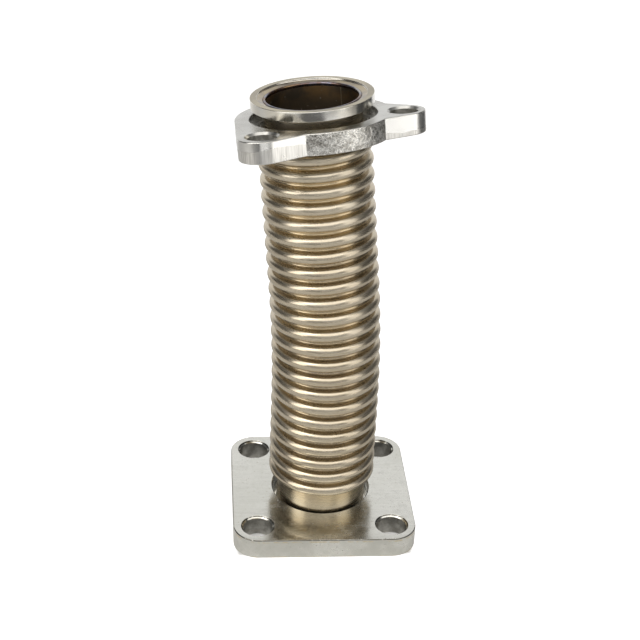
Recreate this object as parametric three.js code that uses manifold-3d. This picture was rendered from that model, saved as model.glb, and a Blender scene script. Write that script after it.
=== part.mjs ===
// A metal bellows expansion joint for a small gas or exhaust line, in millimetres, +Z up.
//
// A thin-walled bellows tube runs up from a square flange to a three-lug flange. Each end of the tube
// is a plain cuff with a thick collar ring welded round its mouth. Both flanges are loose: each one is
// held on its cuff between the collar and the end convolution, where it can turn and slide. The tube
// stands straight out of the square flange, bows to one side half way up, and is straight again above.
//
// Every convolution of the bellows is a rigid ring of its own, with a narrow gap to the next one at
// the root, where the real bellows flexes.
import * as THREE from "three";
import { mergeVertices } from "three/addons/utils/BufferGeometryUtils.js";
import Module from "manifold-3d";

// The gap between two pieces that touch on the real joint, and how far a cutter runs past a face.
const touch = 0.3;
const past = 1;

// Square flange, drilled at its four corners and counterbored underneath for the lower collar.
const baseFlange = {
  side: 68,
  thickness: 8,
  cornerRadius: 9.5,
  boltSquare: 50,
  boltHole: 11,
  boreClearance: 1.65,
};

// Three-lug flange, counterbored on top for the upper collar. A lug's two sides are straight tapers
// that meet the round hub at a corner. A full lug's clockwise side runs on as the hub's tangent.
const looseFlange = {
  thickness: 7.5,
  hubRadius: 27,
  boltCircle: 61.6,
  boltHole: 10,
  lugTaper: 26,
  boreClearance: 2.65,
  counterboreDepth: 3.2,
  lugs: [
    { at: 0, tipRadius: 7.4 },
    { at: 120, tipRadius: 7.4 },
    { at: 240, tipRadius: 8.2, full: true },
  ],
};

// How the three-lug flange lies on the last crest: the least gap under it, how far it is turned on the
// tube, and how far it is tipped up at the front.
const looseFlangeRest = { gap: 0.214, turn: -6.4, tilt: 3.95 };

// Cuffs, the plain ends of the tube. A cuff stops below the collar's face by its recess, and the
// rounded weld bead stands on its end.
const cuff = { outer: 33.7, wall: 1, recess: 2 };
const bead = { height: 0.9, round: 0.3 };

// Collar rings round the cuffs. The face is a flat outer band, with a step and a slope down to the
// cuff inside it. The flanges' counterbores clear a collar by its play.
const collar = {
  slopeWidth: 2.05,
  faceWidth: 2.35,
  thickness: 3.4,
  step: 0.6,
  slope: 0.6,
  play: 0.75,
};

// Bellows, with its roots as wide as the cuffs. The height is that of a crest over the roots, and the
// reaches are the distances from a collar's face to the nearest crest.
const bellows = {
  convolutions: 23,
  pitch: 5.9,
  height: 3.15,
  crestRadius: 1.7,
  wall: 0.5,
  rootGap: 0.95,
  lowerReach: 18.4,
  upperReach: 18,
};

// Bow of the tube: where it starts above the first crest, its length along the tube, how far it
// turns the tube over, and the compass direction it leans to, counter-clockwise from +X.
const bow = { start: 32, length: 47.2, angle: 6.9, heading: 140 };

// How many sides stand for a full turn.
const sides = { convolution: 20, ring: 32, bore: 40, bolt: 20 };

const finishes = {
  plate: { color: 0xc2c1bb, roughness: 0.38, metalness: 0.9 },
  casting: { color: 0xcfcac0, roughness: 0.42, metalness: 0.95 },
  machined: { color: 0xaaa69b, roughness: 0.22, metalness: 1 },
  weld: { color: 0x7d6a5b, roughness: 0.35, metalness: 0.9 },
  tube: { color: 0x94866f, roughness: 0.33, metalness: 1 },
  formed: { color: 0xa3947a, roughness: 0.3, metalness: 1 },
};

const wasm = await Module();
wasm.setup();

const radians = THREE.MathUtils.degToRad;

function piece(name, geometry, finish) {
  const mesh = new THREE.Mesh(geometry, new THREE.MeshStandardMaterial(finish));
  mesh.name = name;
  return mesh;
}

function toSolid(geometry) {
  const bare = geometry.clone();
  bare.deleteAttribute("normal");
  bare.deleteAttribute("uv");
  const merged = mergeVertices(bare, 1e-4);
  return new wasm.Manifold(
    new wasm.Mesh({
      numProp: 3,
      vertProperties: merged.attributes.position.array,
      triVerts: new Uint32Array(merged.index.array),
    }),
  );
}

function fromSolid(solid) {
  const { vertProperties, triVerts } = solid.getMesh();
  const geometry = new THREE.BufferGeometry();
  geometry.setAttribute("position", new THREE.BufferAttribute(vertProperties, 3));
  geometry.setIndex(new THREE.BufferAttribute(triVerts, 1));
  return geometry;
}

// A ring turned about Z from a closed outline of [radius, height] points, the outer side first, upwards.
function turned(outline, sideCount) {
  const points = [...outline, outline[0]].map(([radius, height]) => new THREE.Vector2(radius, height));
  return new THREE.LatheGeometry(points, sideCount).rotateX(Math.PI / 2);
}

// A round cutter of one diameter between two heights.
function cutter(diameter, low, high, sideCount, x = 0, y = 0) {
  const round = new THREE.CylinderGeometry(diameter / 2, diameter / 2, high - low, sideCount);
  return round.rotateX(Math.PI / 2).translate(x, y, (low + high) / 2);
}

// A plate with the outline of a shape, from height 0 up, bored by cutters.
function boredPlate(shape, thickness, cutters) {
  const plate = new THREE.ExtrudeGeometry(shape, {
    depth: thickness,
    bevelEnabled: false,
    curveSegments: 6,
  });
  return fromSolid(cutters.reduce((solid, tool) => solid.subtract(toSolid(tool)), toSolid(plate)));
}

// Radii of the collars and of the crests.
const collarInner = cuff.outer / 2 + collar.slopeWidth;
const collarOuter = collarInner + collar.faceWidth;
const crestOuter = cuff.outer / 2 + bellows.height;

// Distances along the tube from its lower mouth.
const firstCrest = bellows.lowerReach;
const lastCrest = firstCrest + (bellows.convolutions - 1) * bellows.pitch;
const upperMouth = lastCrest + bellows.upperReach;
const halfConvolution = (bellows.pitch - bellows.rootGap) / 2;

// An empty group on the tube's centreline at a distance from the lower mouth, its Z along the tube.
function station(distance) {
  const heading = radians(bow.heading);
  const start = firstCrest + bow.start;
  const bendRadius = bow.length / radians(bow.angle);
  const turn = THREE.MathUtils.clamp(distance - start, 0, bow.length) / bendRadius;
  const beyond = Math.max(distance - start - bow.length, 0);
  const out = bendRadius * (1 - Math.cos(turn)) + beyond * Math.sin(turn);
  const up = Math.min(distance, start) + bendRadius * Math.sin(turn) + beyond * Math.cos(turn);
  const group = new THREE.Group();
  group.position.set(out * Math.cos(heading), out * Math.sin(heading), up);
  group.quaternion.setFromAxisAngle(
    new THREE.Vector3(-Math.sin(heading), Math.cos(heading), 0),
    turn,
  );
  return group;
}

// Square flange: its counterbore is a touch deeper than the collar that sits in it.
function makeBaseFlange() {
  const { side, thickness, cornerRadius, boltSquare, boltHole, boreClearance } = baseFlange;
  const middle = side / 2 - cornerRadius;
  const shape = new THREE.Shape();
  shape.absarc(middle, middle, cornerRadius, 0, Math.PI / 2);
  shape.absarc(-middle, middle, cornerRadius, Math.PI / 2, Math.PI);
  shape.absarc(-middle, -middle, cornerRadius, Math.PI, 1.5 * Math.PI);
  shape.absarc(middle, -middle, cornerRadius, 1.5 * Math.PI, 2 * Math.PI);
  const cutters = [
    cutter(cuff.outer + 2 * boreClearance, -past, thickness + past, sides.bore),
    cutter(2 * (collarOuter + collar.play), -past, collar.thickness + touch, sides.bore),
  ];
  for (const x of [-boltSquare / 2, boltSquare / 2])
    for (const y of [-boltSquare / 2, boltSquare / 2])
      cutters.push(cutter(boltHole, -past, thickness + past, sides.bolt, x, y));
  return piece("base_flange", boredPlate(shape, thickness, cutters), finishes.plate);
}

// Taper of a lug's side, and the angle from the lug's middle to where that side meets the hub.
function lugSide(tipRadius, full) {
  const { hubRadius, boltCircle, lugTaper } = looseFlange;
  const reach = boltCircle / 2;
  const taper = full ? Math.asin((hubRadius - tipRadius) / reach) : radians(lugTaper);
  const offset = reach * Math.sin(taper) + tipRadius;
  const corner = Math.PI / 2 - taper - Math.acos(Math.min(offset / hubRadius, 1));
  return { taper, corner };
}

function makeLooseFlange() {
  const { thickness, hubRadius, boltCircle, boltHole, boreClearance, counterboreDepth, lugs } =
    looseFlange;
  const shape = new THREE.Shape();
  const cutters = [
    cutter(cuff.outer + 2 * boreClearance, -past, thickness + past, sides.bore),
    cutter(
      2 * (collarOuter + collar.play),
      thickness - counterboreDepth,
      thickness + past,
      sides.bore,
    ),
  ];
  lugs.forEach(({ at, tipRadius, full }, index) => {
    const next = lugs[(index + 1) % lugs.length];
    const middle = radians(at);
    const nextMiddle = radians(next.at + (index + 1 === lugs.length ? 360 : 0));
    const before = lugSide(tipRadius, full);
    const after = lugSide(tipRadius, false);
    const beforeNext = lugSide(next.tipRadius, next.full);
    const x = (boltCircle / 2) * Math.cos(middle);
    const y = (boltCircle / 2) * Math.sin(middle);
    const tipStart = middle - Math.PI / 2 + before.taper;
    const tipEnd = middle + Math.PI / 2 - after.taper;
    shape.absarc(x, y, tipRadius, tipStart, tipEnd);
    shape.absarc(0, 0, hubRadius, middle + after.corner, nextMiddle - beforeNext.corner);
    cutters.push(cutter(boltHole, -past, thickness + past, sides.bolt, x, y));
  });
  const flange = piece("loose_flange", boredPlate(shape, thickness, cutters), finishes.casting);
  flange.position.z = -thickness;
  const tilt = radians(looseFlangeRest.tilt);
  const lowSide = (crestOuter - bellows.crestRadius) * Math.sin(tilt);
  const lift = bellows.crestRadius + looseFlangeRest.gap + lowSide;
  const rest = new THREE.Group();
  rest.position.z = (thickness + lift) / Math.cos(tilt);
  rest.rotation.set(-tilt, 0, radians(looseFlangeRest.turn));
  rest.add(flange);
  return rest;
}

// Collar, weld bead and cuff of one end, hanging down from the collar's face at height 0.
function makeTubeEnd(end, reach) {
  const bore = cuff.outer / 2 + touch;
  const collarOutline = [
    [collarOuter, -collar.thickness],
    [collarOuter, 0],
    [collarInner, 0],
    [collarInner, -collar.step],
    [bore, -collar.step - collar.slope],
    [bore, -collar.thickness],
  ];
  const tubeOuter = cuff.outer / 2;
  const tubeInner = tubeOuter - cuff.wall;
  const beadFoot = touch - cuff.recess;
  const beadTop = beadFoot + bead.height;
  const beadOutline = [
    [tubeOuter, beadFoot],
    [tubeOuter, beadTop - bead.round],
    [tubeOuter - bead.round, beadTop],
    [tubeInner + bead.round, beadTop],
    [tubeInner, beadTop - bead.round],
    [tubeInner, beadFoot],
  ];
  const cuffFoot = halfConvolution + touch - reach;
  const cuffOutline = [
    [tubeOuter, cuffFoot],
    [tubeOuter, -cuff.recess],
    [tubeInner, -cuff.recess],
    [tubeInner, cuffFoot],
  ];
  const group = new THREE.Group();
  group.add(
    piece(`${end}_collar`, turned(collarOutline, sides.ring), finishes.machined),
    piece(`${end}_weld_bead`, turned(beadOutline, sides.ring), finishes.weld),
    piece(`${end}_cuff`, turned(cuffOutline, sides.ring), finishes.tube),
  );
  return group;
}

// One convolution: a round crest between two halves of the roots, thin-walled all round.
function convolutionOutline() {
  const { pitch, crestRadius, wall } = bellows;
  const outerAngles = [-85, -42, 0, 42, 85];
  const innerAngles = [60, -60];
  const crestCentre = crestOuter - crestRadius;
  const rootRadius = pitch / 2 - crestRadius;
  const rootCentre = cuff.outer / 2 + rootRadius;
  const rootEnd = (radius) => {
    const rise = pitch / 2 - halfConvolution;
    return rootCentre - Math.sqrt(radius * radius - rise * rise);
  };
  const onCrest = (radius, degrees) => [
    crestCentre + radius * Math.cos(radians(degrees)),
    radius * Math.sin(radians(degrees)),
  ];
  return [
    [rootEnd(rootRadius), -halfConvolution],
    ...outerAngles.map((degrees) => onCrest(crestRadius, degrees)),
    [rootEnd(rootRadius), halfConvolution],
    [rootEnd(rootRadius + wall), halfConvolution],
    ...innerAngles.map((degrees) => onCrest(crestRadius - wall, degrees)),
    [rootEnd(rootRadius + wall), -halfConvolution],
  ];
}

const part = new THREE.Group();

part.add(makeBaseFlange());

const lowerEnd = makeTubeEnd("lower", bellows.lowerReach);
lowerEnd.rotation.x = Math.PI;
part.add(lowerEnd);

for (let number = 1; number <= bellows.convolutions; number += 1) {
  const place = station(firstCrest + (number - 1) * bellows.pitch);
  const name = `bellows_convolution_${String(number).padStart(2, "0")}`;
  place.add(piece(name, turned(convolutionOutline(), sides.convolution), finishes.formed));
  part.add(place);
}

const upperEnd = station(upperMouth);
upperEnd.add(makeTubeEnd("upper", bellows.upperReach));
part.add(upperEnd);

const flangeSeat = station(lastCrest);
flangeSeat.add(makeLooseFlange());
part.add(flangeSeat);

// The part stands on the middle of its own outline.
const box = new THREE.Box3().setFromObject(part, true);
const middle = box.getCenter(new THREE.Vector3());
part.position.set(-middle.x, -middle.y, 0);

export default part;
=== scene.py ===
"""A metal bellows expansion joint: its finished pieces, their surfaces and the studio round it.

The bellows is one thin skin. It is made in spans, each from the top of one crest to the top of the next.
loose on the tube's cuffs, behind the collars that are welded to the tube's ends.
"""
import math

import bpy
from bpy.props import FloatProperty, FloatVectorProperty, IntProperty, PointerProperty
from mathutils import Matrix, Vector


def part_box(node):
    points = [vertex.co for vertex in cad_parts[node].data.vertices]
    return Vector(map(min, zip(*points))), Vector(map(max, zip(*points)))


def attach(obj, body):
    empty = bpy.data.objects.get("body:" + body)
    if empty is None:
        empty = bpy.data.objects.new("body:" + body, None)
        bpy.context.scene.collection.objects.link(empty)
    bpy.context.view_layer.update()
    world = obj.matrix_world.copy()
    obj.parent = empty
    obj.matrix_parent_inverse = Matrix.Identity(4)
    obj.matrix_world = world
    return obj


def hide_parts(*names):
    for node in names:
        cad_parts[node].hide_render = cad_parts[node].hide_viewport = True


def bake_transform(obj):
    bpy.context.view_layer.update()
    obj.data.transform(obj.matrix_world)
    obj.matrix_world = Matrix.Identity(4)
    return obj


bl_info = {
    "name": "Bellows Expansion Joint",
    "version": (1, 0, 0),
    "blender": (4, 5, 0),
    "location": "3D View > Sidebar > Bellows Joint",
    "description": "Builds a metal bellows expansion joint with its two loose flanges",
    "category": "Object",
}

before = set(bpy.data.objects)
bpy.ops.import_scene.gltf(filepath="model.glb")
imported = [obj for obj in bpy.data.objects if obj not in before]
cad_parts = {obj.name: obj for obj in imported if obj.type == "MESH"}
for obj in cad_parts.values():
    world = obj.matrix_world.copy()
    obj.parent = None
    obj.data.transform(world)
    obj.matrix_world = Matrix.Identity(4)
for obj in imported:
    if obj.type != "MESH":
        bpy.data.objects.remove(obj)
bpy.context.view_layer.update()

MM = 0.001
UP = Vector((0, 0, 1))
FRONT = Vector((0, -1, 0))
QUARTER, HALF = math.pi / 2, math.pi
SAME_SPOT = 0.002 * MM  # corners nearer than this are one
HAIR = 0.02 * MM  # a short upright strip on top of a crest
SHARP = math.radians(35)
CORNER_STEPS, TIP_STEPS, HUB_STEPS = 16, 24, 48  # segments in the arcs of the flanges' outlines
FLOOR_SIZE = 6
SENSOR_WIDTH = 36  # millimetres
MIDDLE = Vector((0, 0, 0.09))  # what the lamps point at
WARM_WHITE = (1.0, 0.98, 0.95)
HOT_RINGS = (600, 3, 0.6, (0.25, 0.25, 5))  # noise of the rings turned in the collars' faces
base_low, base_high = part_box("base_flange")
BORE_AXIS = Vector(((base_low.x + base_high.x) / 2, (base_low.y + base_high.y) / 2, 0))


def setting(kind, convert=lambda value: value, **options):
    """A short way to write one kind of property: its name, its description and its default."""
    return lambda name, text, value: kind(name=name, description=text, default=convert(value), **options)


length = setting(FloatProperty, lambda millimetres: millimetres * MM, unit="LENGTH")
angle = setting(FloatProperty, math.radians, subtype="ANGLE")
count = setting(IntProperty, min=1)
colour = setting(FloatVectorProperty, subtype="COLOR", size=3, min=0, max=1)
focal = setting(FloatProperty, unit="CAMERA")
power = setting(FloatProperty, unit="POWER")
share = setting(FloatProperty, subtype="FACTOR", min=0, max=1)


class TubeSizes(bpy.types.PropertyGroup):
    convolutions: count("Convolutions", "Number of crests", 23)
    pitch: length("Pitch", "Distance from one crest to the next", 5.9)
    crest: length("Crest", "Diameter over the crests", 40)
    root: length("Root", "Diameter of the roots and the cuffs", 33.7)
    crest_radius: length("Crest Radius", "Outer radius of a crest's round", 2)
    lower_crest_radius: length("Lower Crest Radius", "Radius of the lower half of the first crest", 1.7)
    upper_crest_radius: length("Upper Crest Radius", "Radius of the upper half of the last crest", 1.4)
    wall: length("Wall", "Thickness of the bellows skin", 0.3)
    lower_reach: length("Lower Reach", "Lower mouth to the first crest", 18.7)
    upper_reach: length("Upper Reach", "Last crest to the upper mouth", 17.7)
    bow_start: length("Bow Start", "First crest to where the tube starts to bow", 31.7)
    bow_length: length("Bow Length", "Length of tube that is bowed", 47.2)
    bow_angle: angle("Bow Angle", "How far the bow leans the tube over", 6.9)
    bow_heading: angle("Bow Heading", "Lean's direction, counter-clockwise from +X", 140)
    cuff_wall: length("Cuff Wall", "Thickness of the cuffs", 1)
    seam: angle("Seam", "Seam's direction, counter-clockwise from +X", 48)
    recess: length("Recess", "Collar face down to the end of the cuff", 2)


class CollarSizes(bpy.types.PropertyGroup):
    outer: length("Outer", "Diameter over the collar", 42.5)
    thickness: length("Thickness", "Height of the collar", 3.4)
    face_inner: length("Face Inner", "Inner diameter of the sealing face", 37.8)
    step: length("Step", "Drop from the face to the weld slope", 0.55)
    slope: length("Slope", "Fall of the weld slope", 0.5)
    edge: length("Edge", "Rounding of the turned edges", 0.18)
    bead_height: length("Bead Height", "Height of the weld bead on the cuff's end", 1.25)


class SquareFlangeSizes(bpy.types.PropertyGroup):
    side: length("Side", "Length of each side", 68)
    thickness: length("Thickness", "Thickness of the plate", 8)
    corner: length("Corner Radius", "Radius of the four corners", 9.5)
    bolt_square: length("Bolt Square", "Side of the square of bolt holes", 50)
    bolt_hole: length("Bolt Hole", "Diameter of the bolt holes", 11)
    chamfer: length("Chamfer", "Width of the chamfers round the holes", 0.75)
    bore: length("Bore", "Diameter of the bore", 37)
    bore_offset: length("Bore Offset", "Bore's distance behind the middle", 0.9)
    counterbore: length("Counterbore", "Diameter of the lower collar's seat", 44)
    seat: length("Seat Depth", "Depth of the lower collar's seat", 3.7)
    edge: length("Edge", "Rounding of the plate's edges", 0.35)


class LugFlangeSizes(bpy.types.PropertyGroup):
    thickness: length("Thickness", "Thickness of the plate", 7.5)
    hub_radius: length("Hub Radius", "Radius of the plate between its lugs", 27)
    bolt_circle: length("Bolt Circle", "Diameter of the bolt holes' circle", 61.6)
    bolt_hole: length("Bolt Hole", "Diameter of the bolt holes", 10)
    chamfer: length("Chamfer", "Width of the chamfers round the holes", 0.8)
    tip_radius: length("Tip Radius", "Radius of a lug's tip", 7.4)
    full_tip_radius: length("Full Tip Radius", "Radius of the full lug's tip", 8.2)
    taper: angle("Lug Taper", "Angle of a lug's side to its middle line", 26)
    bore: length("Bore", "Diameter of the bore", 39)
    counterbore: length("Counterbore", "Diameter of the upper collar's seat", 44)
    seat: length("Seat Depth", "Depth of the upper collar's seat", 3.2)
    edge: length("Edge", "Rounding of the plate's edges", 0.4)
    height: length("Height", "Last crest up to the middle of the top face", 10.4)
    turn: angle("Turn", "How far the flange is turned on the tube", -6.4)
    tilt: angle("Tilt", "How far the flange is tipped up at the front", 3.95)


class FinishColours(bpy.types.PropertyGroup):
    skin: colour("Skin", "Satin steel of the bellows and cuffs", (0.575, 0.515, 0.41))
    skin_deep: colour("Skin Deep", "The same steel where it is warmer", (0.49, 0.42, 0.31))
    # Painted shade: the two root colours are darker and browner than the skin, to shade the roots.
    root: colour("Root", "Browner steel at the roots", (0.37, 0.305, 0.215))
    root_gold: colour("Root Gold", "Golden steel at the roots", (0.56, 0.45, 0.285))
    burnt: colour("Burnt", "Scaled steel inside the tube", (0.125, 0.105, 0.078))
    straw: colour("Straw", "Straw heat tint beside the welds", (0.34, 0.21, 0.09))
    plate: colour("Plate", "Plated steel of the square flange", (0.67, 0.665, 0.62))
    plate_dull: colour("Plate Dull", "Duller clouds in the same plating", (0.55, 0.545, 0.50))
    casting: colour("Casting", "Plated steel of the three-lug flange", (0.54, 0.535, 0.505))
    casting_dull: colour("Casting Dull", "Duller clouds in the same plating", (0.38, 0.37, 0.34))
    machined: colour("Machined", "Turned steel of the collars", (0.74, 0.73, 0.69))
    # Partly painted shade: the drilled colours are dull steel, darkened further to shade the holes.
    drilled: colour("Drilled", "Dull steel in the bolt holes", (0.25, 0.243, 0.22))
    drilled_pale: colour("Drilled Pale", "Cleaner steel in the bolt holes", (0.50, 0.49, 0.455))
    blue_tint: colour("Blue Tint", "Blue heat tint on the weld beads", (0.20, 0.20, 0.25))


class StudioSettings(bpy.types.PropertyGroup):
    distance: length("Distance", "Camera to the aimed point", 535.3)
    heading: angle("Heading", "Camera's heading, from the front to the right", -5.24)
    elevation: angle("Elevation", "Camera's angle above the horizon", 29.42)
    roll: angle("Roll", "Camera's turn about its own line of sight", 2.56)
    focal_length: focal("Focal Length", "Focal length in millimetres", 83.03)
    aim_side: length("Aim Side", "Aimed point, to the right of the bore axis", -2.97)
    aim_height: length("Aim Height", "Aimed point's height", 81.4)
    key_power: power("Key Power", "Power of the large overhead lamp", 3.4)
    left_power: power("Left Power", "Power of the left lamp", 2.9)
    right_power: power("Right Power", "Power of the right lamp", 1.4)
    room: share("Room", "Brightness of the room at the sides", 0.10)
    front: share("Front", "Extra brightness in front of the object", 0.45)
    ceiling: share("Ceiling", "Extra brightness overhead", 0.25)
    backdrop: share("Backdrop", "Extra brightness behind the object", 0.95)


class Smoothness(bpy.types.PropertyGroup):
    round_steps: count("Round Steps", "Segments in a full turn of the tube", 128)
    crest_steps: count("Crest Steps", "Segments in a quarter of a crest", 8)
    root_steps: count("Root Steps", "Segments in the half round of a root", 12)
    hole_steps: count("Hole Steps", "Segments round a hole", 64)


GROUPS = {
    "joint_tube": TubeSizes,
    "joint_collar": CollarSizes,
    "joint_square_flange": SquareFlangeSizes,
    "joint_lug_flange": LugFlangeSizes,
    "joint_colours": FinishColours,
    "joint_studio": StudioSettings,
    "joint_smoothness": Smoothness,
}


# Modelling by hand: an outline drawn corner by corner, rings turned from it, and plates.


def add_plane(name, size, location=(0, 0, 0)):
    bpy.ops.object.select_all(action="DESELECT")
    bpy.ops.mesh.primitive_plane_add(size=size, location=location)
    plane = bpy.context.object
    plane.name = plane.data.name = name
    return plane


class Outline:
    """A chain of edges drawn in edit mode from a single corner."""

    def __init__(self, name, start):
        self.piece = add_plane(name, MM)
        bpy.ops.object.mode_set(mode="EDIT")
        bpy.ops.mesh.select_mode(type="VERT")
        bpy.ops.mesh.merge(type="CENTER")
        bpy.ops.transform.translate(value=start)
        self.start = self.end = Vector(start)

    def line(self, point):
        point = Vector(point)
        bpy.ops.mesh.extrude_region_move(TRANSFORM_OT_translate={"value": point - self.end})
        self.end = point

    def arc(self, centre, turn, steps, axis):
        """Goes round a centre by an angle, counter-clockwise as seen from the axis's tip."""
        bpy.ops.mesh.spin(steps=steps, angle=turn, center=centre, axis=-axis)  # spin goes clockwise
        self.end = Matrix.Rotation(turn, 3, axis) @ (self.end - Vector(centre)) + Vector(centre)

    def close(self):
        self.line(self.start)
        bpy.ops.mesh.select_all(action="SELECT")
        bpy.ops.mesh.remove_doubles(threshold=SAME_SPOT)


class Profile(Outline):
    """An outline that a ring is turned from. Its corners are given as radius and height."""

    def __init__(self, name, radius, height):
        super().__init__(name, (radius, 0, height))

    def to(self, *corners):
        for radius, height in corners:
            self.line((radius, 0, height))

    def curve(self, radius, height, turn, steps):
        """Goes round a centre by an angle, counter-clockwise as seen from the front."""
        self.arc((radius, 0, height), turn, steps, FRONT)

    def turn_round(self, steps, closed=True):
        """Spins the profile round the Z axis into a ring, with its faces pointing out."""
        if closed:
            self.close()
        bpy.ops.mesh.select_all(action="SELECT")
        bpy.ops.mesh.spin(steps=steps, angle=math.tau, center=(0, 0, 0), axis=UP)
        bpy.ops.mesh.select_all(action="SELECT")
        bpy.ops.mesh.remove_doubles(threshold=SAME_SPOT)
        face_outwards()
        return self.piece


def pick_only(*pieces):
    """Selects nothing but some pieces, with the last one active."""
    bpy.ops.object.select_all(action="DESELECT")
    for piece in pieces:
        piece.select_set(True)
    bpy.context.view_layer.objects.active = pieces[-1]


def smooth(piece):
    pick_only(piece)
    bpy.ops.object.shade_smooth_by_angle(angle=SHARP)
    return piece


def apply_modifier(piece, kind, **settings):
    modifier = piece.modifiers.new(kind.title(), kind)
    for name, value in settings.items():
        setattr(modifier, name, value)
    pick_only(piece)
    bpy.ops.object.modifier_apply(modifier=modifier.name)


def round_edges(piece, width, sharpest):
    """Rounds every edge that turns by more than an angle."""
    limits = {"limit_method": "ANGLE", "angle_limit": sharpest}
    apply_modifier(piece, "BEVEL", width=width, segments=3, **limits)


def smooth_flat(piece):
    """Shades the rounded edges smooth, and keeps the flat faces flat."""
    smooth(piece)
    apply_modifier(piece, "WEIGHTED_NORMAL", keep_sharp=True, weight=100)


def place(piece, matrix):
    """Puts a piece where it belongs and leaves its object at the origin."""
    pick_only(piece)
    piece.matrix_world = matrix
    bpy.ops.object.transform_apply(location=True, rotation=True, scale=True)


def turn_wall(name, corners, steps, spot=(0, 0, 0)):
    """A round hole's wall at a spot: its profile's corners, as radius and height, turned round."""
    profile = Profile(name, *corners[0])
    profile.to(*corners[1:])
    wall = profile.turn_round(steps, closed=False)
    wall.location = spot
    return wall


def bolt_hole_wall(plate, steps, spot):
    """A through hole at a spot, with a chamfer at each face."""
    radius, thick, chamfer = plate.bolt_hole / 2, plate.thickness, plate.chamfer
    lower = [(radius + chamfer / 2, 0), (radius, chamfer / 2)]
    upper = [(radius, thick - chamfer), (radius + chamfer, thick)]
    return turn_wall("bolt_hole", lower + upper, steps.hole_steps, spot)


def pick(piece, kind, test):
    """Goes into edit mode with just the edges or faces selected that pass a test."""
    bpy.ops.object.mode_set(mode="EDIT")
    bpy.ops.mesh.select_mode(type=kind)
    bpy.ops.mesh.select_all(action="DESELECT")
    bpy.ops.object.mode_set(mode="OBJECT")
    for element in piece.data.edges if kind == "EDGE" else piece.data.polygons:
        element.select = test(element)
    bpy.ops.object.mode_set(mode="EDIT")


def lies_level(piece, edge, level):
    """Whether both ends of an edge are at a level."""
    ends = (piece.data.vertices[index].co for index in edge.vertices)
    return sum(abs(end.z - level) for end in ends) < 0.001 * MM


def face_outwards():
    """Leaves edit mode with every face pointing out."""
    bpy.ops.mesh.select_all(action="SELECT")
    bpy.ops.mesh.normals_make_consistent(inside=False)
    bpy.ops.object.mode_set(mode="OBJECT")


def draw_arcs(name, arcs):
    """A closed outline of arcs with lines between. Each is a centre, radius, start, turn and steps."""
    outline = None
    for centre, radius, start, turn, steps in arcs:
        if outline is None:
            outline = Outline(name, on_circle(radius, start, centre))
        else:
            outline.line(on_circle(radius, start, centre))
        outline.arc(centre, turn, steps, UP)
    outline.close()
    return outline


def make_rim(outline, plate):
    """The side of a plate with rounded edges, from its closed outline, with no top or bottom yet."""
    bpy.ops.mesh.edge_face_add()
    bpy.ops.mesh.extrude_region_move(TRANSFORM_OT_translate={"value": (0, 0, plate.thickness)})
    face_outwards()
    rim = outline.piece
    round_edges(rim, plate.edge, math.radians(60))
    pick(rim, "FACE", lambda face: abs(face.normal.z) > 0.999)
    bpy.ops.mesh.delete(type="ONLY_FACE")
    bpy.ops.object.mode_set(mode="OBJECT")
    return rim


def close_plate(rim, walls, plate, more_levels=()):
    """Joins the holes' walls to a plate's rim and fills its bottom, its top and any level between."""
    pick_only(*walls, rim)
    bpy.ops.object.join()
    for level in (0, plate.thickness, *more_levels):
        pick(rim, "EDGE", lambda edge: lies_level(rim, edge, level))
        bpy.ops.mesh.fill(use_beauty=True)
        bpy.ops.object.mode_set(mode="OBJECT")
    bpy.ops.object.mode_set(mode="EDIT")
    face_outwards()
    smooth_flat(rim)
    return rim


# The centreline of the tube.


def last_crest(tube):
    return tube.lower_reach + (tube.convolutions - 1) * tube.pitch


def upper_mouth(tube):
    return last_crest(tube) + tube.upper_reach


def station(tube, distance):
    """Where the tube's centreline is at a distance from the lower mouth, with Z along the tube."""
    start = tube.lower_reach + tube.bow_start
    bend_radius = tube.bow_length / tube.bow_angle
    turn = min(max(distance - start, 0), tube.bow_length) / bend_radius
    beyond = max(distance - start - tube.bow_length, 0)
    out = bend_radius * (1 - math.cos(turn)) + beyond * math.sin(turn)
    up = min(distance, start) + bend_radius * math.sin(turn) + beyond * math.cos(turn)
    lean = Vector((math.cos(tube.bow_heading), math.sin(tube.bow_heading), 0))
    spot = BORE_AXIS + lean * out + UP * up
    return Matrix.Translation(spot) @ Matrix.Rotation(turn, 4, UP.cross(lean))


def mark_depth(piece, tube):
    """Stores how deep each corner lies in the skin: 0 on a crest's top and 1 at a root."""
    depth = piece.data.attributes.new("depth", "FLOAT", "POINT")
    for vertex, mark in zip(piece.data.vertices, depth.data):
        mark.value = (tube.crest / 2 - vertex.co.xy.length) / (tube.crest / 2 - tube.root / 2)


def lay_on_tube(piece, tube, distance):
    """Lays a piece that was made round the Z axis along the bowed tube, from a distance up."""
    stations = {}
    for vertex in piece.data.vertices:
        height = round(vertex.co.z / MM, 4)
        if height not in stations:
            stations[height] = station(tube, distance + vertex.co.z)
        vertex.co = stations[height] @ Vector((vertex.co.x, vertex.co.y, 0))
    piece.data.update()


# The pieces of the tube.


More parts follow.
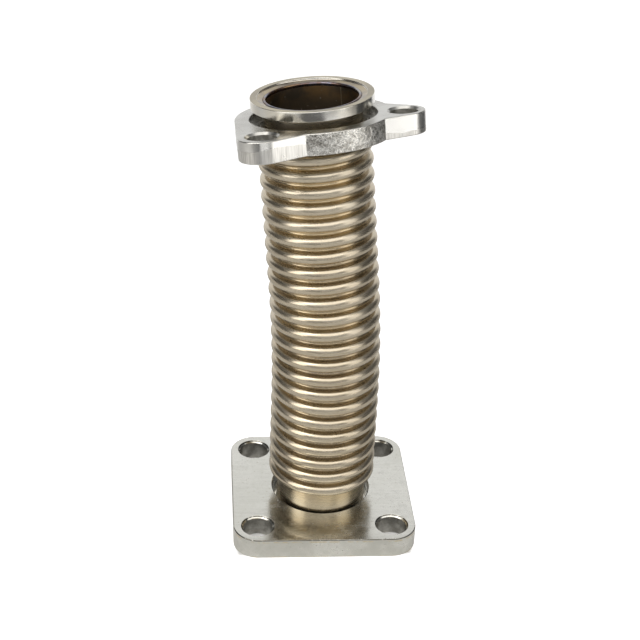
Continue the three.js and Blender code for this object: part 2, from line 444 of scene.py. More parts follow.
def make_span(tube, steps, name):
    """The skin from the top of one crest, at height 0, to the top of the next."""
    pitch, outer, inner = tube.pitch, tube.crest / 2, tube.crest / 2 - tube.wall
    crest_at = outer - tube.crest_radius
    root_at = tube.root / 2 + (pitch / 2 - tube.crest_radius)
    inner_steps = max(steps.crest_steps // 2, 3)
    profile = Profile(name, outer, 0)
    profile.to((outer, HAIR))
    profile.curve(crest_at, HAIR, QUARTER, steps.crest_steps)
    profile.to((root_at, profile.end.z))
    profile.curve(root_at, pitch / 2, -HALF, steps.root_steps)
    profile.to((crest_at, profile.end.z))
    profile.curve(crest_at, pitch - HAIR, QUARTER, steps.crest_steps)
    profile.to((outer, pitch), (inner, pitch), (inner, pitch - HAIR))
    profile.curve(crest_at, pitch - HAIR, -QUARTER, inner_steps)
    profile.to((root_at, profile.end.z))
    profile.curve(root_at, pitch / 2, HALF, inner_steps * 2)
    profile.to((crest_at, profile.end.z))
    profile.curve(crest_at, HAIR, -QUARTER, inner_steps)
    profile.to((inner, 0))
    span = smooth(profile.turn_round(steps.round_steps))
    mark_depth(span, tube)
    return span


def make_end_skin(tube, steps, name, reach, radius):
    """Half of the last crest, at height 0, and the plain cuff below it, down to the weld."""
    crest_outer, cuff_outer = tube.crest / 2, tube.root / 2
    crest_at, cuff_inner = crest_outer - radius, cuff_outer - tube.cuff_wall
    fillet, foot = 0.8 * MM, tube.recess - reach
    cuff_depth = 0.25  # the cuff's share of the painted shade at the roots
    profile = Profile(name, crest_outer, 0)
    profile.to((crest_outer, -HAIR))
    profile.curve(crest_at, -HAIR, -QUARTER, steps.crest_steps)
    profile.to((cuff_outer + fillet, profile.end.z))
    profile.curve(cuff_outer + fillet, profile.end.z - fillet, QUARTER, steps.crest_steps)
    profile.to((cuff_outer, foot), (cuff_inner, foot), (cuff_inner, -radius))
    profile.to((cuff_inner + fillet, tube.wall - radius), (crest_at, tube.wall - radius))
    profile.curve(crest_at, -HAIR, QUARTER, steps.crest_steps // 2)
    profile.to((crest_outer - tube.wall, 0))
    skin = smooth(profile.turn_round(steps.round_steps))
    mark_depth(skin, tube)
    for vertex, mark in zip(skin.data.vertices, skin.data.attributes["depth"].data):
        if vertex.co.z < -2 * radius:
            mark.value = cuff_depth
    return skin


def make_collar(tube, collar, steps, name):
    """A turned collar ring, its sealing face at height 0 and its bore down over the cuff."""
    outer, inner, bore = collar.outer / 2, collar.face_inner / 2, tube.root / 2
    profile = Profile(name, outer, -collar.thickness)
    profile.to((outer, 0), (inner, 0), (inner, -collar.step))
    profile.to((bore, -collar.step - collar.slope), (bore, -collar.thickness))
    ring = profile.turn_round(steps.round_steps)
    round_edges(ring, collar.edge, SHARP)
    smooth_flat(ring)
    return ring


def make_weld_bead(tube, collar, steps, name):
    """The rounded lip of weld on the cuff's end, its foot at the cuff's end and height 0 at the face."""
    outer, inner = tube.root / 2, tube.root / 2 - tube.cuff_wall
    foot = -tube.recess
    top = foot + collar.bead_height - (outer - inner) / 2
    profile = Profile(name, outer, foot)
    profile.to((outer, top))
    profile.curve((outer + inner) / 2, top, HALF, steps.root_steps)
    profile.to((inner, foot))
    return smooth(profile.turn_round(steps.round_steps))


# The flanges.


def square_spots(plate):
    """The square flange's bolt holes, from the middle of its plate."""
    reach = plate.bolt_square / 2
    return [Vector((x, y, 0)) for x in (-reach, reach) for y in (-reach, reach)]


def make_square_flange(plate, steps, name):
    thick, corner_at = plate.thickness, plate.side / 2 - plate.corner
    arcs = []
    for start in (0, QUARTER, 2 * QUARTER, 3 * QUARTER):
        centre = Matrix.Rotation(start, 3, "Z") @ Vector((corner_at, corner_at, 0))
        arcs.append((centre, plate.corner, start, QUARTER, CORNER_STEPS))
    rim = make_rim(draw_arcs(name, arcs), plate)
    bore, seat, chamfer = plate.bore / 2, plate.counterbore / 2, plate.chamfer / 2
    seat_wall = turn_wall("seat", [(seat, 0), (seat, plate.seat)], steps.round_steps)
    corners = [(bore, plate.seat), (bore, thick - chamfer), (bore + chamfer, thick)]
    bore_wall = turn_wall("bore", corners, steps.round_steps, (0, plate.bore_offset, 0))
    hole_walls = [bolt_hole_wall(plate, steps, spot) for spot in square_spots(plate)]
    flange = close_plate(rim, [seat_wall, bore_wall, *hole_walls], plate, (plate.seat,))
    place(flange, Matrix.Translation(BORE_AXIS))
    return flange


def lug_side(plate, tip_radius, full):
    """A lug side's taper, and the angle from the lug's middle to where the side meets the hub."""
    reach = plate.bolt_circle / 2
    taper = math.asin((plate.hub_radius - tip_radius) / reach) if full else plate.taper
    offset = reach * math.sin(taper) + tip_radius
    corner = QUARTER - taper - math.acos(min(offset / plate.hub_radius, 1))
    return taper, corner


def on_circle(radius, turn, centre=Vector((0, 0, 0))):
    return centre + radius * Vector((math.cos(turn), math.sin(turn), 0))


def make_lug_flange(plate, steps, name):
    reach, hub = plate.bolt_circle / 2, plate.hub_radius
    lugs = [(0, False), (120, False), (240, True)]
    tips = [plate.full_tip_radius if full else plate.tip_radius for _, full in lugs]
    centres, arcs = [], []
    for index, ((at, full), tip) in enumerate(zip(lugs, tips)):
        middle = math.radians(at)
        before, _ = lug_side(plate, tip, full)
        after, corner = lug_side(plate, tip, False)
        centre = on_circle(reach, middle)
        centres.append(centre)
        tip_start = middle - QUARTER + before
        tip_end = middle + QUARTER - after
        following = (index + 1) % len(lugs)
        next_corner = lug_side(plate, tips[following], lugs[following][1])[1]
        hub_start = middle + corner
        hub_end = middle + math.tau / len(lugs) - next_corner
        arcs.append((centre, tip, tip_start, tip_end - tip_start, TIP_STEPS))
        arcs.append((Vector(), hub, hub_start, hub_end - hub_start, HUB_STEPS))
    rim = make_rim(draw_arcs(name, arcs), plate)
    bore, seat, chamfer = plate.bore / 2, plate.counterbore / 2, plate.chamfer / 3
    thick, floor = plate.thickness, plate.thickness - plate.seat
    corners = [(bore + chamfer, 0), (bore, chamfer), (bore, floor)]
    corners += [(seat, floor), (seat, thick - chamfer), (seat + chamfer, thick)]
    hole_walls = [bolt_hole_wall(plate, steps, centre) for centre in centres]
    return close_plate(rim, [turn_wall("bore", corners, steps.round_steps), *hole_walls], plate)


def lug_flange_rest(tube, plate):
    """Where the three-lug flange lies: tipped and turned on the tube above the last crest."""
    tip = Matrix.Rotation(-plate.tilt, 4, "X") @ Matrix.Rotation(plate.turn, 4, "Z")
    lift = Matrix.Translation(UP * plate.height)
    drop = Matrix.Translation(-UP * plate.thickness)
    return station(tube, last_crest(tube)) @ lift @ tip @ drop


# Surfaces.


def arithmetic(operation, reflected=False):
    """A method of Value that adds one Math node."""

    def method(self, other):
        first, second = (other, self) if reflected else (self, other)
        return self.graph.node("ShaderNodeMath", {"operation": operation}, {0: first, 1: second})

    return method


class Value:
    """A number that varies over a surface. Python's arithmetic on it adds Math nodes."""

    __add__ = __radd__ = arithmetic("ADD")
    __mul__ = __rmul__ = arithmetic("MULTIPLY")
    __sub__ = arithmetic("SUBTRACT")
    __rsub__ = arithmetic("SUBTRACT", reflected=True)
    maximum = arithmetic("MAXIMUM")

    def __init__(self, graph, socket):
        self.graph = graph
        self.socket = socket

    def over(self, low, high):
        """0 at low and past it, 1 at high and past it, and soft between. Low may be the larger one."""
        inputs = {"Value": self, "From Min": low, "From Max": high}
        return self.graph.node("ShaderNodeMapRange", {"interpolation_type": "SMOOTHSTEP"}, inputs)


class NodeGraph:
    """A tree of shader nodes, which node() adds to."""

    def __init__(self, tree):
        self.tree = tree

    def node(self, kind, settings=None, inputs=None, output=0):
        made = self.tree.nodes.new(kind)
        for name, value in (settings or {}).items():
            if name == "stops":
                self.set_stops(made.color_ramp, value)
            else:
                setattr(made, name, value)
        for name, value in (inputs or {}).items():
            if isinstance(value, Value):
                self.tree.links.new(value.socket, made.inputs[name])
            else:
                made.inputs[name].default_value = value
        return Value(self, made.outputs[output])

    def output(self, kind, name):
        """An output of a node that has no inputs to set."""
        return self.node(kind, output=name)

    def part(self, vector, axis):
        """One of a vector's three numbers."""
        return self.node("ShaderNodeSeparateXYZ", inputs={"Vector": vector}, output=axis)

    @staticmethod
    def set_stops(ramp, stops):
        while len(ramp.elements) < len(stops):
            ramp.elements.new(1)
        for element, (at, tint) in zip(ramp.elements, stops):
            element.position = at
            element.color = (*tint, 1)


class Surface(NodeGraph):
    """A material whose Principled shader is fed by nodes."""

    def __init__(self, name, **constants):
        self.material = bpy.data.materials.new(name)
        self.material.use_nodes = True
        super().__init__(self.material.node_tree)
        self.shader = self.tree.nodes["Principled BSDF"]
        for socket, value in constants.items():
            self.shader.inputs[socket.replace("_", " ")].default_value = value

    def feed(self, socket, value):
        self.tree.links.new(value.socket, self.shader.inputs[socket])

    def coordinates(self, scale=(1, 1, 1), matrix=None):
        """Object coordinates, first put into a piece's own frame if its matrix is given."""
        spot = self.output("ShaderNodeTexCoord", "Object")
        if matrix is not None:
            back = matrix.inverted()
            inputs = {"Vector": spot, "Location": back.translation, "Rotation": back.to_euler()}
            spot = self.node("ShaderNodeMapping", inputs=inputs)
        return self.node("ShaderNodeMapping", inputs={"Vector": spot, "Scale": scale})

    def mix(self, factor, first, second):
        """The first colour where the factor is 0, and the second where it is 1."""
        first, second = (tint if isinstance(tint, Value) else (*tint, 1) for tint in (first, second))
        inputs = {0: factor, 6: first, 7: second}
        return self.node("ShaderNodeMix", {"data_type": "RGBA"}, inputs, output=2)


class Steel(Surface):
    """Bare or plated steel, with its patterns in a piece's own frame if its matrix is given."""

    def __init__(self, name, matrix=None):
        super().__init__(name, Metallic=1.0)
        self.matrix = matrix

    def noise(self, scale, detail, roughness, stretch=(1, 1, 1), distortion=0.0):
        spot = self.coordinates(stretch, self.matrix)
        inputs = {"Vector": spot, "Scale": scale, "Detail": detail, "Roughness": roughness}
        return self.node("ShaderNodeTexNoise", inputs={**inputs, "Distortion": distortion})

    def ramp(self, factor, stops):
        return self.node("ShaderNodeValToRGB", {"stops": stops}, {0: factor})

    def bump(self, height, distance, strength, normal=None):
        inputs = {"Height": height, "Distance": distance, "Strength": strength}
        if normal is not None:
            inputs["Normal"] = normal
        return self.node("ShaderNodeBump", inputs=inputs)

    def finish(self, tint, roughness, normal):
        self.feed("Base Color", tint)
        self.feed("Roughness", roughness)
        self.feed("Normal", normal)
        return self.material


def make_satin_skin(colours):
    """Formed stainless sheet: satin, with fine rings from forming, and painted shade that makes it darker
    and browner at the roots.
    """
    surface = Steel("satin_skin")
    rings = surface.noise(420, 3, 0.6, stretch=(0.25, 0.25, 5))
    clouds = surface.noise(38, 3, 0.55)
    depth = surface.node("ShaderNodeAttribute", {"attribute_name": "depth"}, output="Fac")
    tint = (clouds * 0.7 + rings * 0.3).over(0.3, 0.75)
    crest = surface.mix(tint, colours.skin_deep, colours.skin)
    # Painted shade: by the depth attribute the roots take these darker, browner colours instead of the
    # crests' colours.
    root = surface.mix(clouds.over(0.35, 0.65), colours.root, colours.root_gold)
    steel = surface.mix((depth + 0.25 * (clouds - 0.5)).over(0.55, 1.0), crest, root)
    satin = 0.22 + 0.05 * rings.over(0.3, 0.7) + 0.05 * clouds.over(0.35, 0.7)
    return surface.finish(steel, satin, surface.bump(rings, 0.004 * MM, 0.4))


def make_burnt_inside(colours, seam_frame):
    """The inside of the tube: dark scale, straw tint near the mouth and the tube's pale lengthwise seam."""
    surface = Steel("burnt_inside")
    clouds = surface.noise(60, 4, 0.6)
    specks = surface.noise(900, 2, 0.5)
    spot = surface.coordinates(matrix=seam_frame)
    aside = surface.part(spot, "Y")
    forward = surface.part(spot, "X")
    height = surface.part(spot, "Z")
    seam = aside.over(-0.22 * MM, -0.1 * MM) * aside.over(0.22 * MM, 0.1 * MM) * forward.over(0, MM)
    scale = surface.mix(clouds.over(0.35, 0.7), colours.burnt, (0.16, 0.125, 0.085))
    mouth = height.over(-9 * MM, -2.5 * MM) * clouds.over(0.42, 0.6)
    tinted = surface.mix(mouth * 0.8, scale, colours.straw)
    specked = surface.mix(specks.over(0.70, 0.76), tinted, (0.45, 0.42, 0.36))
    seamed = surface.mix(seam * 0.8, specked, (0.42, 0.35, 0.24))
    return surface.finish(seamed, 0.34 + 0.15 * clouds, surface.bump(specks, 0.02 * MM, 0.4))


def make_plated_plate(colours, plate):
    """The square flange: plating that is nearly a mirror, with clouds, scuffs and a worn upper edge."""
    surface = Steel("square_flange_plating")
    clouds = surface.noise(45, 4, 0.6)
    mottle = surface.noise(260, 4, 0.65)
    grain = surface.noise(700, 3, 0.6, stretch=(0.15, 1.6, 1))
    pits = surface.noise(1300, 2, 0.6)
    spot = surface.output("ShaderNodeTexCoord", "Object")
    height = surface.part(spot, "Z")
    top = plate.thickness
    dull = surface.mix((clouds * 0.6 + mottle * 0.4).over(0.38, 0.62), colours.plate_dull, colours.plate)
    pitted = surface.mix(pits.over(0.66, 0.74), dull, (0.40, 0.38, 0.33))
    edge = height.over(top - 0.42 * MM, top - 0.3 * MM) * height.over(top, top - 0.1 * MM)
    worn = surface.mix(edge * pits.over(0.30, 0.42), pitted, (0.10, 0.092, 0.075))
    stain = height.over(top - 1.5 * MM, top - 1.0 * MM) * height.over(top - 0.5 * MM, top - 0.8 * MM)
    foot = height.over(0.9 * MM, 0.2 * MM)
    yellow = (stain * mottle.over(0.46, 0.56) + foot * mottle.over(0.4, 0.6)) * 0.7
    stained = surface.mix(yellow, worn, (0.56, 0.47, 0.30))
    shine = 0.12 + 0.08 * clouds.over(0.3, 0.7) + 0.06 * grain.over(0.35, 0.7)
    scuffs = surface.bump(grain, 0.006 * MM, 0.35)
    spots = surface.bump(mottle, 0.02 * MM, 0.35, scuffs)
    waves = surface.bump(clouds, 0.25 * MM, 0.2, spots)
    return surface.finish(stained, shine + 0.08 * mottle.over(0.45, 0.65), waves)


def make_drilled_shaded_wall(colours):
    """The walls of the drilled holes: dull, with fine rings from the drill, and darker than the plating by
    painted shade.
    """
    surface = Steel("drilled_shaded_wall")
    rings = surface.noise(700, 3, 0.6, stretch=(0.3, 0.3, 4))
    clouds = surface.noise(260, 3, 0.6)
    # Painted shade: these dark colours shade the holes' walls.
    dull = surface.mix(clouds.over(0.35, 0.7), colours.drilled, colours.drilled_pale)
    return surface.finish(dull, 0.36 + 0.15 * rings, surface.bump(rings, 0.05 * MM, 0.6))


def make_plated_casting(colours, matrix):
    """The three-lug flange: pale plating over a forged skin."""
    surface = Steel("lug_flange_plating", matrix)
    clouds = surface.noise(70, 5, 0.6)
    grain = surface.noise(900, 3, 0.6)
    plating = surface.mix(clouds.over(0.35, 0.68), colours.casting_dull, colours.casting)
    skin = surface.bump(grain, 0.03 * MM, 0.4)
    forged = surface.bump(clouds, 0.4 * MM, 0.3, skin)
    return surface.finish(plating, 0.18 + 0.14 * clouds + 0.05 * grain, forged)


def make_crystalline_side(matrix):
    """The torn part of the three-lug flange's sides: bright crystalline facets and dark pits."""
    surface = Steel("crystalline_side", matrix)
    grains = surface.noise(1900, 3, 0.6, distortion=0.4)
    facets = surface.noise(650, 4, 0.6, distortion=0.5)
    patches = surface.noise(90, 3, 0.5)
    bright = surface.mix(facets.over(0.35, 0.6), (0.42, 0.405, 0.365), (0.78, 0.765, 0.72))
    pits = (grains * 0.6 + patches * 0.4).over(0.54, 0.62)
    pitted = surface.mix(pits, bright, (0.16, 0.15, 0.13))
    rough = surface.bump(grains, 0.10 * MM, 0.8)
    return surface.finish(pitted, 0.15 + 0.14 * facets, surface.bump(facets, 0.35 * MM, 0.8, rough))


def make_burnished_side(matrix):
    """The sides of the lugs: bright plating, and burnished by the shear along the lower part."""
    surface = Steel("burnished_side", matrix)
    spot = surface.coordinates(matrix=matrix)
    height = surface.part(spot, "Z")
    clouds = surface.noise(45, 2, 0.5)
    lines = surface.noise(2600, 2, 0.6, stretch=(1, 1, 0.05))
    sheared = (height + (clouds - 0.5) * (9 * MM)).over(3.9 * MM, 3.6 * MM)
    pale = surface.mix(clouds.over(0.35, 0.7), (0.58, 0.57, 0.54), (0.68, 0.67, 0.64))
    lined = surface.mix(lines.over(0.3, 0.7), (0.50, 0.485, 0.45), (0.72, 0.705, 0.665))
    plating = surface.mix(sheared, pale, lined)
    scored = surface.bump(lines * sheared, 0.02 * MM, 0.5)
    waves = surface.bump(clouds, 0.5 * MM, 0.3, scored)
    return surface.finish(plating, 0.16 + 0.10 * clouds + 0.08 * sheared, waves)


def make_turned_finish(name, tint, cloud_noise, ring_noise, shine):
    """A turned surface, with fine rings and clouds. Shine is its roughness and each one's share in it."""
    surface = Steel(name)
    clouds = surface.noise(*cloud_noise)
    rings = surface.noise(*ring_noise)
    least, from_rings, from_clouds = shine
    roughness = least + from_rings * rings + from_clouds * clouds
    return surface.finish(tint(surface, clouds), roughness, surface.bump(rings, 0.01 * MM, 0.4))


def make_turned_steel(colours):
    """The collars: polished by turning."""

    def tint(surface, clouds):
        return surface.mix(clouds.over(0.38, 0.62), (0.66, 0.62, 0.53), colours.machined)

    rings = (500, 3, 0.6, (0.2, 0.2, 6))
    return make_turned_finish("turned_steel", tint, (55, 3, 0.5), rings, (0.10, 0.06, 0.05))


def make_sealing_face():
    """The collar's flat face: turned like its side, and olive and straw from the weld's heat."""

    def tint(surface, clouds):
        return surface.mix(clouds.over(0.36, 0.62), (0.23, 0.20, 0.135), (0.36, 0.315, 0.215))

    return make_turned_finish("sealing_face", tint, (70, 3, 0.55), HOT_RINGS, (0.15, 0.08, 0))


def make_tinted_slope():
    """The collar's slope beside the weld: browner and greyer where it was hot."""
    stops = [(0.32, (0.11, 0.09, 0.07)), (0.48, (0.24, 0.205, 0.16)), (0.62, (0.36, 0.30, 0.195))]

    def tint(surface, clouds):
        return surface.ramp(clouds, stops)

    return make_turned_finish("tinted_slope", tint, (90, 3, 0.55), HOT_RINGS, (0.14, 0.08, 0))


def make_tinted_weld(colours):
    """The weld beads: ripples, and heat tint from straw through brown to blue."""
    surface = Steel("tinted_weld")
    drift = surface.noise(130, 3, 0.6)
    ripple = surface.noise(600, 3, 0.6)
    stops = [
        (0.30, (0.30, 0.205, 0.10)),
        (0.45, (0.16, 0.105, 0.085)),
        (0.56, tuple(colours.blue_tint)),
        (0.70, (0.36, 0.34, 0.30)),
    ]
    tint = surface.ramp(drift, stops)
    return surface.finish(tint, 0.16 + 0.14 * ripple, surface.bump(ripple, 0.08 * MM, 0.5))


def dress(piece, *materials):
    piece.data.materials.clear()
    for material in materials:
        piece.data.materials.append(material)


def upright(normal):
    return abs(normal.z) < 0.3


def dress_faces(piece, slot, test):
    """Gives the faces whose middle and normal pass a test another of the piece's materials."""
    for face in piece.data.polygons:
        if test(face.center, face.normal):
            face.material_index = slot


def dress_holes(piece, slot, spots, radius):
    """Gives the upright walls of round holes at some spots another of the piece's materials."""
    reach = radius + 0.1 * MM
    for at in spots:
        dress_faces(piece, slot, lambda spot, normal: upright(normal) and (spot - at).xy.length < reach)


# Operators.


class JointPiece:
    """What every operator here shares."""

    bl_options = {"REGISTER", "UNDO"}

    @staticmethod
    def sizes(context, *names):
        return [getattr(context.scene, f"joint_{name}") for name in names]


class OBJECT_OT_joint_bellows(JointPiece, bpy.types.Operator):
    """Makes the bellows skin, span by span, and lays it along the bowed tube"""

    bl_idname = "object.joint_bellows"
    bl_label = "Bellows Skin"

    def execute(self, context):
        tube, steps, colours = self.sizes(context, "tube", "smoothness", "colours")
        pattern = make_span(tube, steps, "bellows_span_01")
        dress(pattern, make_satin_skin(colours))
        spans = [pattern]
        for number in range(2, tube.convolutions):
            span = pattern.copy()
            span.data = pattern.data.copy()
            span.name = span.data.name = f"bellows_span_{number:02d}"
            context.scene.collection.objects.link(span)
            spans.append(span)
        for index, span in enumerate(spans):
            crest = tube.lower_reach + index * tube.pitch
            lay_on_tube(span, tube, crest)
            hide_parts(f"bellows_convolution_{index + 2:02d}")
            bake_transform(span)
        return {"FINISHED"}


class OBJECT_OT_joint_cuffs(JointPiece, bpy.types.Operator):
    """Makes the two plain ends of the tube, each with half of its end crest"""

    bl_idname = "object.joint_cuffs"
    bl_label = "Cuffs"

    def execute(self, context):
        tube, steps, colours = self.sizes(context, "tube", "smoothness", "colours")
        seam_frame = station(tube, upper_mouth(tube)) @ Matrix.Rotation(tube.seam, 4, "Z")
        inside = make_burnt_inside(colours, seam_frame)
        ends = {
            "lower": (tube.lower_reach, tube.lower_reach, tube.lower_crest_radius),
            "upper": (last_crest(tube), tube.upper_reach, tube.upper_crest_radius),
        }
        nodes = {"lower": ["bellows_convolution_01", "lower_cuff"], "upper": ["upper_cuff"]}
        for end, (crest, reach, radius) in ends.items():
            skin = make_end_skin(tube, steps, f"{end}_cuff_skin", reach, radius)
            dress(skin, bpy.data.materials["satin_skin"], inside)
            inner = tube.root / 2 + 0.15 * MM
            dress_faces(skin, 1, lambda spot, normal: spot.xy.dot(normal.xy) < 0 and spot.xy.length < inner)
            if end == "upper":
                place(skin, Matrix.Rotation(HALF, 4, "X"))
            lay_on_tube(skin, tube, crest)
            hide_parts(*nodes[end])
            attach(skin, f"{end}_end")
        return {"FINISHED"}


class OBJECT_OT_joint_collars(JointPiece, bpy.types.Operator):
    """Makes the two collar rings and the weld beads that hold them on the tube"""

    bl_idname = "object.joint_collars"
    bl_label = "Collars and Welds"

    def execute(self, context):
        tube, collar, steps, colours = self.sizes(context, "tube", "collar", "smoothness", "colours")
        turned, tinted, weld = make_turned_steel(colours), make_tinted_slope(), make_tinted_weld(colours)
        sealing = make_sealing_face()
        places = {
            "lower": Matrix.Translation(BORE_AXIS) @ Matrix.Rotation(HALF, 4, "X"),
            "upper": station(tube, upper_mouth(tube)),
        }
        for end, matrix in places.items():
            ring = make_collar(tube, collar, steps, f"{end}_collar_ring")
            dress(ring, turned, tinted, sealing)
            dress_faces(ring, 2, lambda spot, normal: normal.z > 0.9)
            slope_in, slope_out = tube.root / 2 + 0.02 * MM, collar.face_inner / 2 - 0.1 * MM
            dress_faces(ring, 1, lambda spot, normal: slope_in < spot.xy.length < slope_out)
            bead = make_weld_bead(tube, collar, steps, f"{end}_weld_lip")
            dress(bead, weld)
            finished = {f"{end}_collar": (ring, "machined_steel"), f"{end}_weld_bead": (bead, "weld")}
            for node, (piece, slot) in finished.items():
                place(piece, matrix)
                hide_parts(node)
                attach(piece, f"{end}_end")
        return {"FINISHED"}


class OBJECT_OT_joint_square_flange(JointPiece, bpy.types.Operator):
    """Makes the square flange with its bolt holes and the seat for the lower collar"""

    bl_idname = "object.joint_square_flange"
    bl_label = "Square Flange"

    def execute(self, context):
        plate, steps, colours = self.sizes(context, "square_flange", "smoothness", "colours")
        flange = make_square_flange(plate, steps, "square_flange_plate")
        dress(flange, make_plated_plate(colours, plate), make_drilled_shaded_wall(colours))
        spots = [BORE_AXIS + spot for spot in square_spots(plate)]
        dress_holes(flange, 1, spots, plate.bolt_hole / 2)
        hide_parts("base_flange")
        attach(flange, "base_flange")
        return {"FINISHED"}


class OBJECT_OT_joint_lug_flange(JointPiece, bpy.types.Operator):
    """Makes the three-lug flange and lays it tipped on the tube"""

    bl_idname = "object.joint_lug_flange"
    bl_label = "Three-Lug Flange"

    def execute(self, context):
        plate, tube, steps, colours = self.sizes(context, "lug_flange", "tube", "smoothness", "colours")
        matrix = lug_flange_rest(tube, plate)
        flange = make_lug_flange(plate, steps, "lug_flange_plate")
        dress(
            flange,
            make_plated_casting(colours, matrix),
            make_crystalline_side(matrix),
            bpy.data.materials["drilled_shaded_wall"],
            make_burnished_side(matrix),
        )
        hub, close = plate.hub_radius, 0.1 * MM
        dress_faces(flange, 3, lambda spot, normal: upright(normal) and spot.xy.length > hub - MM)
        dress_faces(flange, 1, lambda spot, normal: upright(normal) and abs(spot.xy.length - hub) < close)
        spots = [on_circle(plate.bolt_circle / 2, index * math.tau / 3) for index in range(3)]
        dress_holes(flange, 2, spots, plate.bolt_hole / 2)
        place(flange, matrix)
        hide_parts("loose_flange")
        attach(flange, "loose_flange")
        return {"FINISHED"}


def seen_rays(graph):
    """Two masks: rays straight from the camera, and rays that come to it by way of metal or glass."""
    camera = graph.output("ShaderNodeLightPath", "Is Camera Ray")
    glossy = graph.output("ShaderNodeLightPath", "Is Glossy Ray")
    through = graph.output("ShaderNodeLightPath", "Is Transmission Ray")
    return camera, glossy.maximum(through)


def within(value, reach):
    """1 where a number is well within a reach of 0, and 0 where it is past it."""
    inset = 3 * MM
    return value.over(-reach, inset - reach) * value.over(reach, reach - inset)


def add_softbox(name, location, size, watts):
    bpy.ops.object.select_all(action="DESELECT")
    bpy.ops.object.light_add(type="AREA", location=location)
    lamp = bpy.context.object
    lamp.name = name
    lamp.data.shape = "RECTANGLE"
    lamp.data.size, lamp.data.size_y = size
    lamp.data.energy = watts
    lamp.data.color = WARM_WHITE
    lamp.rotation_euler = (lamp.location - MIDDLE).to_track_quat("Z", "Y").to_euler()


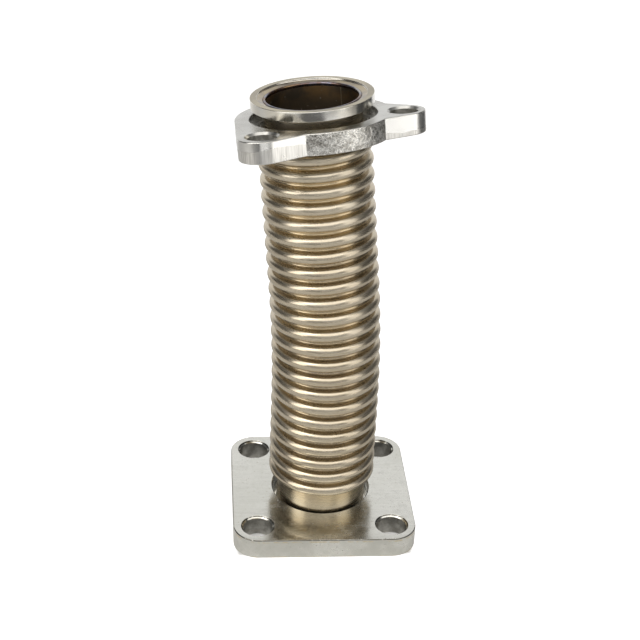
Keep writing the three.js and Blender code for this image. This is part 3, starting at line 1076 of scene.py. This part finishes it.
class SCENE_OT_joint_stage(JointPiece, bpy.types.Operator):
    """Makes the floor, the soft lamps, the room's light and the camera"""

    bl_idname = "scene.joint_stage"
    bl_label = "Stage"

    def execute(self, context):
        (studio,) = self.sizes(context, "studio")
        self.add_floor()
        self.add_cards()
        self.light_room(context.scene, studio)
        self.add_camera(context.scene, studio)
        return {"FINISHED"}

    @staticmethod
    def add_floor():
        floor = add_plane("studio_floor", FLOOR_SIZE, (0, 0, -0.02 * MM))  # just under the plate
        plain = {"Roughness": 0.9, "Specular_IOR_Level": 0, "Emission_Strength": 1}
        surface = Surface("pale_floor", Base_Color=(0.72, 0.72, 0.715, 1), **plain)
        camera, mirrored = seen_rays(surface)
        spot = surface.coordinates()
        aside = surface.part(spot, "X")
        along = surface.part(spot, "Y")
        reach = (base_high.x - base_low.x) / 2
        # Painted shadow: under the square flange the floor keeps only 0.12 of its glow for the camera, so
        # it reads dark in the bolt holes.
        plate_shadow_mask = within(aside, reach) * within(along - BORE_AXIS.y, reach)
        seen = camera * (1 - plate_shadow_mask).maximum(0.12) + mirrored * (0.13 + along.over(0.15, 0.6))
        surface.feed("Emission Color", surface.mix(seen, (0, 0, 0), (0.85, 0.85, 0.85)))
        floor.data.materials.append(surface.material)

    @staticmethod
    def light_room(scene, studio):
        """A room for metal to mirror: pale behind the object, less so overhead and in front, else dim."""
        world = bpy.data.worlds.new("room")
        world.use_nodes = True
        room = NodeGraph(world.node_tree)
        direction = room.output("ShaderNodeTexCoord", "Generated")
        back = room.part(direction, "Y")
        height = room.part(direction, "Z")
        front = back.over(-0.55, -0.9) * studio.front
        pale = front + back.over(0.66, 0.79) * studio.backdrop + height.over(0.45, 0.9) * studio.ceiling
        camera, mirrored = seen_rays(room)
        strength = (mirrored * pale + studio.room).maximum(camera)
        sky = room.tree.nodes["Background"]
        sky.inputs["Color"].default_value = (1, 1, 1, 1)
        room.tree.links.new(strength.socket, sky.inputs["Strength"])
        scene.world = world
        add_softbox("key_softbox", (-0.03, -0.31, 0.73), (0.8, 0.88), studio.key_power)
        add_softbox("left_softbox", (-0.52, -0.30, 0.52), (0.4, 0.9), studio.left_power)
        add_softbox("right_softbox", (0.54, -0.34, 0.43), (0.4, 0.8), studio.right_power)

    @staticmethod
    def add_cards():
        """Dark, pale and white cards on the floor, out of the camera's view, which only metal sees."""
        dark = Surface("dark_card", Roughness=0.9, Base_Color=(0.12, 0.125, 0.135, 1)).material
        glow = {"Roughness": 0.9, "Base_Color": (0.8, 0.8, 0.8, 1), "Emission_Color": (1, 1, 1, 1)}
        pale = Surface("pale_card", Emission_Strength=0.6, **glow).material
        white = Surface("white_card", Emission_Strength=2.6, **glow).material
        cards = {
            "front_card": ((-0.03, -0.85), (0.50, 0.80), dark),
            "right_card": ((0.75, 0.22), (0.70, 0.66), dark),
            "near_pale_card": ((0.50, -0.48), (0.52, 0.48), pale),
            "right_white_card": ((1.45, -1.25), (0.90, 1.10), white),
            "front_white_card": ((0.30, -2.00), (1.30, 1.20), white),
        }
        for name, ((x, y), (wide, deep), material) in cards.items():
            card = add_plane(name, 1, (x, y, MM))
            card.scale = (wide, deep, 1)
            card.data.materials.append(material)
            card.visible_camera = card.visible_diffuse = card.visible_shadow = False

    @staticmethod
    def add_camera(scene, studio):
        tilt = Matrix.Rotation(QUARTER - studio.elevation, 3, "X")
        level = Matrix.Rotation(studio.heading, 3, "Z") @ tilt
        right, _, back = level.transposed()
        target = BORE_AXIS + right * studio.aim_side + UP * studio.aim_height
        turned = level @ Matrix.Rotation(studio.roll, 3, "Z")
        bpy.ops.object.select_all(action="DESELECT")
        bpy.ops.object.camera_add(location=target + back * studio.distance, rotation=turned.to_euler())
        camera = bpy.context.object
        camera.name = "studio_camera"
        camera.data.lens = studio.focal_length
        camera.data.sensor_width = SENSOR_WIDTH
        camera.data.clip_start = 0.01
        scene.camera = camera
        scene.view_settings.view_transform = "Standard"


class VIEW3D_PT_joint(bpy.types.Panel):
    """Lists the joint's sizes and the operators that build it"""

    bl_idname = "VIEW3D_PT_joint"
    bl_label = "Bellows Joint"
    bl_space_type = "VIEW_3D"
    bl_region_type = "UI"
    bl_category = "Bellows Joint"

    def draw(self, context):
        for operator in OPERATORS:
            self.layout.operator(operator.bl_idname)
        for name, group in GROUPS.items():
            box = self.layout.box()
            box.label(text=group.__name__)
            for prop in group.__annotations__:
                box.prop(getattr(context.scene, name), prop)


OPERATORS = (
    OBJECT_OT_joint_bellows,
    OBJECT_OT_joint_cuffs,
    OBJECT_OT_joint_collars,
    OBJECT_OT_joint_square_flange,
    OBJECT_OT_joint_lug_flange,
    SCENE_OT_joint_stage,
)
CLASSES = (*GROUPS.values(), *OPERATORS, VIEW3D_PT_joint)


def register():
    for cls in CLASSES:
        bpy.utils.register_class(cls)
    for name, group in GROUPS.items():
        setattr(bpy.types.Scene, name, PointerProperty(type=group))


def unregister():
    for name in GROUPS:
        delattr(bpy.types.Scene, name)
    for cls in reversed(CLASSES):
        bpy.utils.unregister_class(cls)


def main():
    register()
    bpy.ops.object.joint_bellows()
    bpy.ops.object.joint_cuffs()
    bpy.ops.object.joint_collars()
    bpy.ops.object.joint_square_flange()
    bpy.ops.object.joint_lug_flange()
    bpy.ops.scene.joint_stage()


if __name__ == "__main__":
    main()
